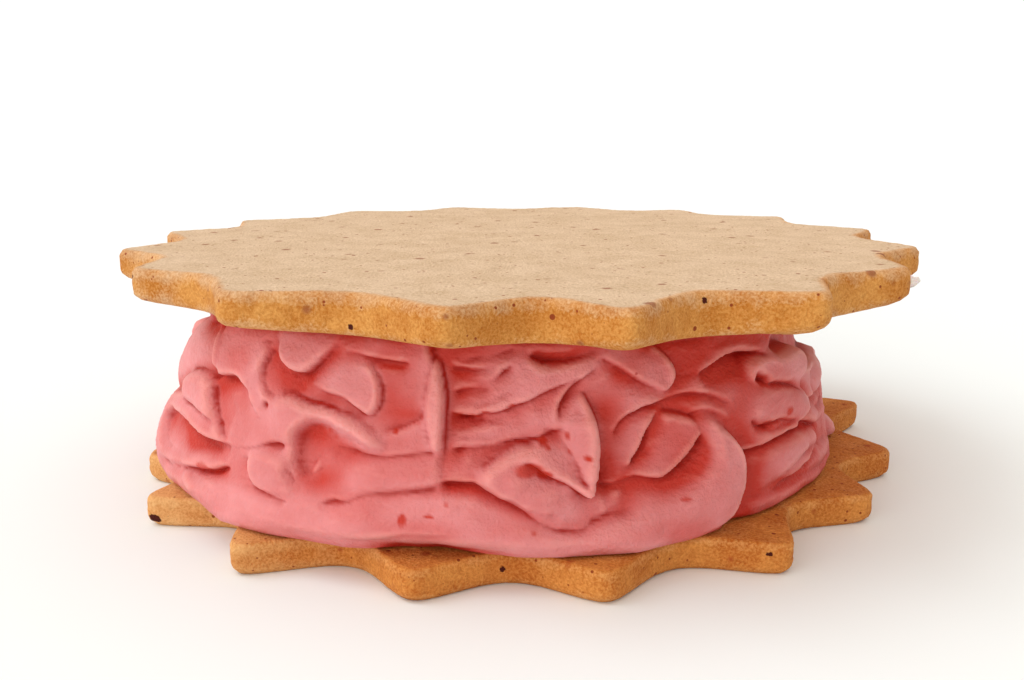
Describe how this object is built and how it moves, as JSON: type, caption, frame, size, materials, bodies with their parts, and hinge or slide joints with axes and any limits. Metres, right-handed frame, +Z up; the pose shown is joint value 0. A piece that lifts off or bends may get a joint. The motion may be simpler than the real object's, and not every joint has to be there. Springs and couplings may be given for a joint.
{
  "type": "cookie ice cream sandwich",
  "caption": "Ice cream sandwich of star-edged baked cookies with a thick, folded layer of pink strawberry ice cream between them, lying flat.",
  "frame": {"origin": "middle of the outline seen from above, on the surface that the sandwich rests on", "axes": "+Z up through the layers, -Y towards the front"},
  "size_m": [0.1066, 0.107, 0.0315],
  "materials": {
    "bottom_cookie": "golden-brown baked cookie, dry and matt, with fine dark specks",
    "ice_cream": "smooth strawberry ice cream, softly satin, redder in its creases",
    "top_cookie": "pale tan baked cookie, browner on its edge, dry and matt, with fine dark specks"
  },
  "bodies": {
    "root": {"bottom_cookie": "bottom_cookie", "ice_cream": "ice_cream", "top_cookie": "top_cookie"}
  },
  "joints": []
}
